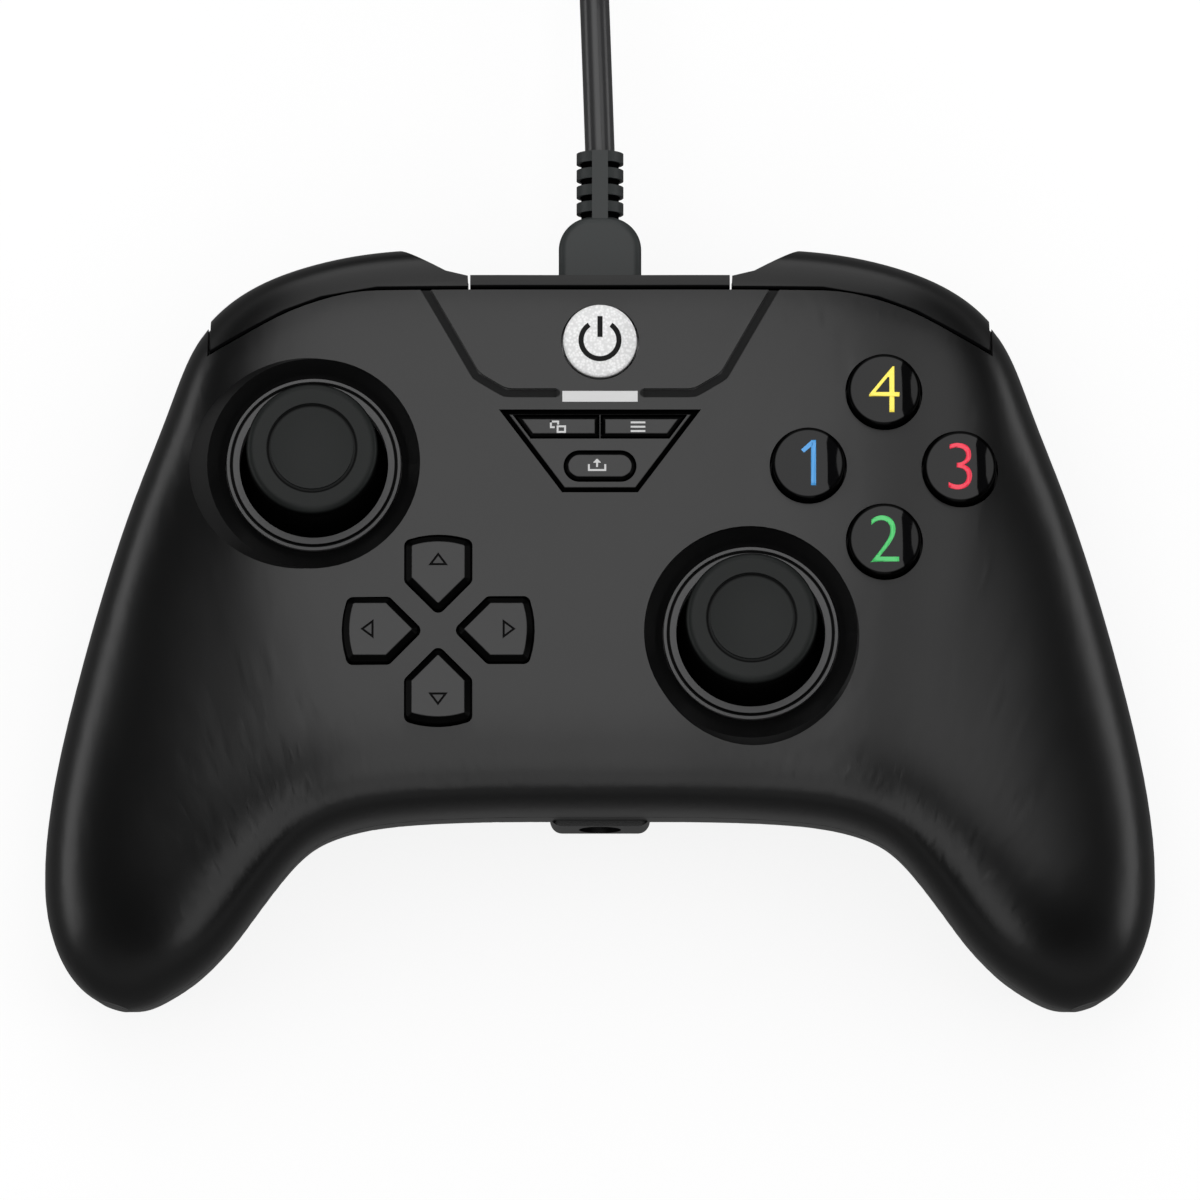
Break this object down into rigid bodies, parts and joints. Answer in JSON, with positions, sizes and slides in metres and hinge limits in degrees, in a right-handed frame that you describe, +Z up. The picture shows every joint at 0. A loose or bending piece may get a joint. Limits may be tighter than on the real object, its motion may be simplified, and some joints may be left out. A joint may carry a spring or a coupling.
{
  "type": "wired gamepad controller",
  "caption": "Two-handed gamepad with tilting sticks, direction keys, numbered face buttons, bumpers, pull triggers and a cable ending in a flat plug.",
  "frame": {"origin": "under the middle of the pad, on the surface that it rests on", "axes": "+Z up through the face, +Y away from the player along the cable's exit, +X to the player's right"},
  "size_m": [0.155, 0.2777, 0.0571],
  "materials": {
    "shell_plastic": "fine satin texture",
    "button_plastic": "polished",
    "key_plastic": "satin",
    "home_plastic": "polished, lit from inside",
    "light_plastic": "frosted",
    "stick_rubber": "matt grip",
    "mat_rubber": "translucent grey",
    "ring_plastic": "satin",
    "board": "solder mask over fibreglass",
    "inner_plastic": "moulded",
    "steel": "plain",
    "chrome": "plated",
    "motor_metal": "drawn can",
    "weight_metal": "sintered",
    "cable_rubber": "soft sheath",
    "boot_plastic": "matt moulding",
    "tie_fabric": "hook and loop"
  },
  "bodies": {
    "pad": {"back_bridge": "shell_plastic", "board_screws": "steel", "bottom_shell": "shell_plastic", "bumper_switches": "inner_plastic", "cable_boot": "boot_plastic", "cord_coil": "cable_rubber", "cord_lead": "cable_rubber", "cord_tail": "cable_rubber", "cord_tie": "tie_fabric", "dpad_mat": "mat_rubber", "face_button_mat": "mat_rubber", "headset_jack": "inner_plastic", "housing_screws": "steel", "left_rumble_motor": "motor_metal", "left_stick_module": "inner_plastic", "left_stick_ring": "ring_plastic", "left_trigger_pin": "steel", "main_board": "board", "menu_button_mat": "mat_rubber", "menu_plate": "key_plastic", "plug_tip": "chrome", "right_rumble_motor": "motor_metal", "right_stick_module": "inner_plastic", "right_stick_ring": "ring_plastic", "right_trigger_pin": "steel", "status_light": "light_plastic", "top_shell": "shell_plastic", "trigger_sensors": "inner_plastic", "usb_a_body": "boot_plastic", "usb_a_shield": "chrome", "usb_socket": "chrome"},
    "face_button_left_body": {"face_button_left": "button_plastic"},
    "face_button_bottom_body": {"face_button_bottom": "button_plastic"},
    "face_button_right_body": {"face_button_right": "button_plastic"},
    "face_button_top_body": {"face_button_top": "button_plastic"},
    "dpad_right_body": {"dpad_right": "key_plastic"},
    "dpad_up_body": {"dpad_up": "key_plastic"},
    "dpad_left_body": {"dpad_left": "key_plastic"},
    "dpad_down_body": {"dpad_down": "key_plastic"},
    "home_button_body": {"home_button": "home_plastic"},
    "view_button_body": {"view_button": "key_plastic"},
    "menu_button_body": {"menu_button": "key_plastic"},
    "share_button_body": {"share_button": "key_plastic"},
    "left_bumper_body": {"left_bumper": "shell_plastic"},
    "left_trigger_body": {"left_trigger": "shell_plastic", "left_trigger_spring": "steel"},
    "left_yoke_body": {"left_stick_yoke": "inner_plastic"},
    "left_pivot_body": {"left_stick_pivot": "inner_plastic"},
    "left_stick_body": {"left_stick_cap": "stick_rubber", "left_stick_post": "inner_plastic"},
    "left_weight_body": {"left_rumble_weight": "weight_metal"},
    "right_bumper_body": {"right_bumper": "shell_plastic"},
    "right_trigger_body": {"right_trigger": "shell_plastic", "right_trigger_spring": "steel"},
    "right_yoke_body": {"right_stick_yoke": "inner_plastic"},
    "right_pivot_body": {"right_stick_pivot": "inner_plastic"},
    "right_stick_body": {"right_stick_cap": "stick_rubber", "right_stick_post": "inner_plastic"},
    "right_weight_body": {"right_rumble_weight": "weight_metal"}
  },
  "joints": [
    {"name": "face_button_left_press", "type": "slide", "parent": "pad", "child": "face_button_left_body", "axis": [0, 0, -1], "range_m": [0, 0.0012], "stiffness_N_per_m": 400, "springref_m": -0.0009},
    {"name": "face_button_bottom_press", "type": "slide", "parent": "pad", "child": "face_button_bottom_body", "axis": [0, 0, -1], "range_m": [0, 0.0012], "stiffness_N_per_m": 400, "springref_m": -0.0009},
    {"name": "face_button_right_press", "type": "slide", "parent": "pad", "child": "face_button_right_body", "axis": [0, 0, -1], "range_m": [0, 0.0012], "stiffness_N_per_m": 400, "springref_m": -0.0009},
    {"name": "face_button_top_press", "type": "slide", "parent": "pad", "child": "face_button_top_body", "axis": [0, 0, -1], "range_m": [0, 0.0012], "stiffness_N_per_m": 400, "springref_m": -0.0009},
    {"name": "dpad_right_press", "type": "slide", "parent": "pad", "child": "dpad_right_body", "axis": [0, 0, -1], "range_m": [0, 0.0008], "stiffness_N_per_m": 500, "springref_m": -0.0007},
    {"name": "dpad_up_press", "type": "slide", "parent": "pad", "child": "dpad_up_body", "axis": [0, 0, -1], "range_m": [0, 0.0008], "stiffness_N_per_m": 500, "springref_m": -0.0007},
    {"name": "dpad_left_press", "type": "slide", "parent": "pad", "child": "dpad_left_body", "axis": [0, 0, -1], "range_m": [0, 0.0008], "stiffness_N_per_m": 500, "springref_m": -0.0007},
    {"name": "dpad_down_press", "type": "slide", "parent": "pad", "child": "dpad_down_body", "axis": [0, 0, -1], "range_m": [0, 0.0008], "stiffness_N_per_m": 500, "springref_m": -0.0007},
    {"name": "home_button_press", "type": "slide", "parent": "pad", "child": "home_button_body", "axis": [0, 0, -1], "range_m": [0, 0.0008], "stiffness_N_per_m": 500, "springref_m": -0.0007},
    {"name": "view_button_press", "type": "slide", "parent": "pad", "child": "view_button_body", "axis": [0, 0, -1], "range_m": [0, 0.0008], "stiffness_N_per_m": 500, "springref_m": -0.0007},
    {"name": "menu_button_press", "type": "slide", "parent": "pad", "child": "menu_button_body", "axis": [0, 0, -1], "range_m": [0, 0.0008], "stiffness_N_per_m": 500, "springref_m": -0.0007},
    {"name": "share_button_press", "type": "slide", "parent": "pad", "child": "share_button_body", "axis": [0, 0, -1], "range_m": [0, 0.0008], "stiffness_N_per_m": 500, "springref_m": -0.0007},
    {"name": "left_bumper_press", "type": "hinge", "parent": "pad", "child": "left_bumper_body", "pos_m": [-0.021, 0.0435, 0.0366], "axis": [0, -1, 0], "range_deg": [0, 2.1], "stiffness_Nm_per_rad": 0.8, "springref_deg": -1.15},
    {"name": "left_trigger_pull", "type": "hinge", "parent": "pad", "child": "left_trigger_body", "pos_m": [-0.04, 0.0399, 0.0274], "axis": [-1, 0, 0], "range_deg": [0, 16], "stiffness_Nm_per_rad": 0.1, "springref_deg": -14.32},
    {"name": "left_stick_tilt_y", "type": "hinge", "parent": "pad", "child": "left_yoke_body", "pos_m": [-0.0392, 0.0208, 0.03211], "axis": [1, 0, 0], "range_deg": [-18, 18], "stiffness_Nm_per_rad": 0.04},
    {"name": "left_stick_tilt_x", "type": "hinge", "parent": "left_yoke_body", "child": "left_pivot_body", "pos_m": [-0.0392, 0.0208, 0.03211], "axis": [0, 1, 0], "range_deg": [-18, 18], "stiffness_Nm_per_rad": 0.04},
    {"name": "left_stick_click", "type": "slide", "parent": "left_pivot_body", "child": "left_stick_body", "axis": [0, 0, -1], "range_m": [0, 0.0005], "stiffness_N_per_m": 2500, "springref_m": -0.0005},
    {"name": "left_weight_spin", "type": "hinge", "parent": "pad", "child": "left_weight_body", "pos_m": [-0.06, -0.013, 0.0205], "axis": [0, 1, 0], "continuous": true},
    {"name": "right_bumper_press", "type": "hinge", "parent": "pad", "child": "right_bumper_body", "pos_m": [0.021, 0.0435, 0.0366], "axis": [0, 1, 0], "range_deg": [0, 2.1], "stiffness_Nm_per_rad": 0.8, "springref_deg": -1.15},
    {"name": "right_trigger_pull", "type": "hinge", "parent": "pad", "child": "right_trigger_body", "pos_m": [0.04, 0.0399, 0.0274], "axis": [-1, 0, 0], "range_deg": [0, 16], "stiffness_Nm_per_rad": 0.1, "springref_deg": -14.32},
    {"name": "right_stick_tilt_y", "type": "hinge", "parent": "pad", "child": "right_yoke_body", "pos_m": [0.0206, -0.0027, 0.03275], "axis": [1, 0, 0], "range_deg": [-18, 18], "stiffness_Nm_per_rad": 0.04},
    {"name": "right_stick_tilt_x", "type": "hinge", "parent": "right_yoke_body", "child": "right_pivot_body", "pos_m": [0.0206, -0.0027, 0.03275], "axis": [0, 1, 0], "range_deg": [-18, 18], "stiffness_Nm_per_rad": 0.04},
    {"name": "right_stick_click", "type": "slide", "parent": "right_pivot_body", "child": "right_stick_body", "axis": [0, 0, -1], "range_m": [0, 0.0005], "stiffness_N_per_m": 2500, "springref_m": -0.0005},
    {"name": "right_weight_spin", "type": "hinge", "parent": "pad", "child": "right_weight_body", "pos_m": [0.06, -0.013, 0.0205], "axis": [0, 1, 0], "continuous": true}
  ]
}
